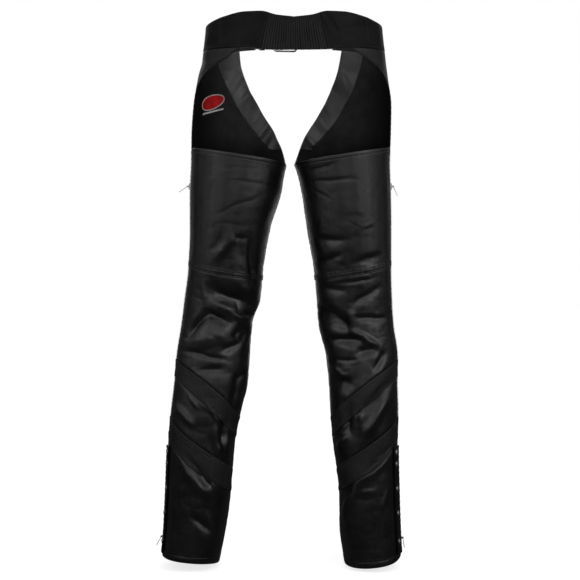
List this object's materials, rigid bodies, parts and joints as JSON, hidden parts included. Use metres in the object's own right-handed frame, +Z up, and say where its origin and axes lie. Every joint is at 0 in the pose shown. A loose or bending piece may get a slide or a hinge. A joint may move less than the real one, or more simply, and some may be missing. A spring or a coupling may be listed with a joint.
{
  "type": "leather chaps",
  "caption": "Black leather motorcycle chaps with a shirred waistband, open seat, full side zips, snap flaps at the hem and creased legs, held in worn form with hollow legs.",
  "frame": {"origin": "centre of the waistband ring at mid height, where the wearer's waist holds the chaps", "axes": "+Z up along the body, +Y the way the wearer faces, +X the wearer's right"},
  "size_m": [0.4929, 0.2454, 1.0792],
  "materials": {
    "leather": "soft satin black cowhide with fine grain",
    "matte_leather": "matte black leather",
    "shirred_leather": "black leather shirred over elastic",
    "lining": "dull black woven lining",
    "label": "red woven label with a pale edge, no lettering",
    "zip_chain": "nickel zip teeth on black tape",
    "nickel": "polished nickel, slightly worn"
  },
  "bodies": {
    "garment": {"front_thigh_left": "leather", "front_shin_left": "leather", "back_thigh_left": "leather", "back_knee_left": "leather", "back_calf_left": "leather", "back_ankle_left": "leather", "facing_left": "leather", "snap_flap_left": "leather", "waistband_back_left": "leather", "waistband_side_left": "leather", "back_band_upper_left": "matte_leather", "back_band_lower_left": "matte_leather", "slider_upper_left": "nickel", "slider_lower_left": "nickel", "snap_1_left": "nickel", "snap_2_left": "nickel", "snap_3_left": "nickel", "snap_4_left": "nickel", "snap_5_left": "nickel", "lining_left": "lining", "zip_front_left": "zip_chain", "zip_back_left": "zip_chain", "front_thigh_right": "leather", "front_shin_right": "leather", "back_thigh_right": "leather", "back_knee_right": "leather", "back_calf_right": "leather", "back_ankle_right": "leather", "facing_right": "leather", "snap_flap_right": "leather", "waistband_back_right": "leather", "waistband_side_right": "leather", "back_band_upper_right": "matte_leather", "back_band_lower_right": "matte_leather", "slider_upper_right": "nickel", "slider_lower_right": "nickel", "snap_1_right": "nickel", "snap_2_right": "nickel", "snap_3_right": "nickel", "snap_4_right": "nickel", "snap_5_right": "nickel", "lining_right": "lining", "zip_front_right": "zip_chain", "zip_back_right": "zip_chain", "belt_buckle_strap": "leather", "belt_tongue": "leather", "belt_keeper": "leather", "waistband_elastic": "shirred_leather", "buckle_frame": "nickel", "buckle_prong": "nickel", "label": "label"},
    "tab_upper_left": {"pull_tab_upper_left": "nickel"},
    "tab_lower_left": {"pull_tab_lower_left": "nickel"},
    "tab_upper_right": {"pull_tab_upper_right": "nickel"},
    "tab_lower_right": {"pull_tab_lower_right": "nickel"}
  },
  "joints": [
    {"name": "pull_tab_upper_left_swing", "type": "hinge", "parent": "garment", "child": "tab_upper_left", "pos_m": [-0.21218, -0.01278, -0.28981], "axis": [-0.0823, 0.995, 0.0561], "range_deg": [-52, 118]},
    {"name": "pull_tab_lower_left_swing", "type": "hinge", "parent": "garment", "child": "tab_lower_left", "pos_m": [-0.26375, -0.01659, -0.98561], "axis": [0.0015, 0.9999, -0.0151], "range_deg": [-22, 148]},
    {"name": "pull_tab_upper_right_swing", "type": "hinge", "parent": "garment", "child": "tab_upper_right", "pos_m": [0.19748, -0.0135, -0.28982], "axis": [-0.0849, -0.9945, -0.0605], "range_deg": [-20, 150]},
    {"name": "pull_tab_lower_right_swing", "type": "hinge", "parent": "garment", "child": "tab_lower_right", "pos_m": [0.21514, -0.03199, -0.98575], "axis": [-0.0823, -0.9966, 0.0008], "range_deg": [-4, 166]}
  ]
}
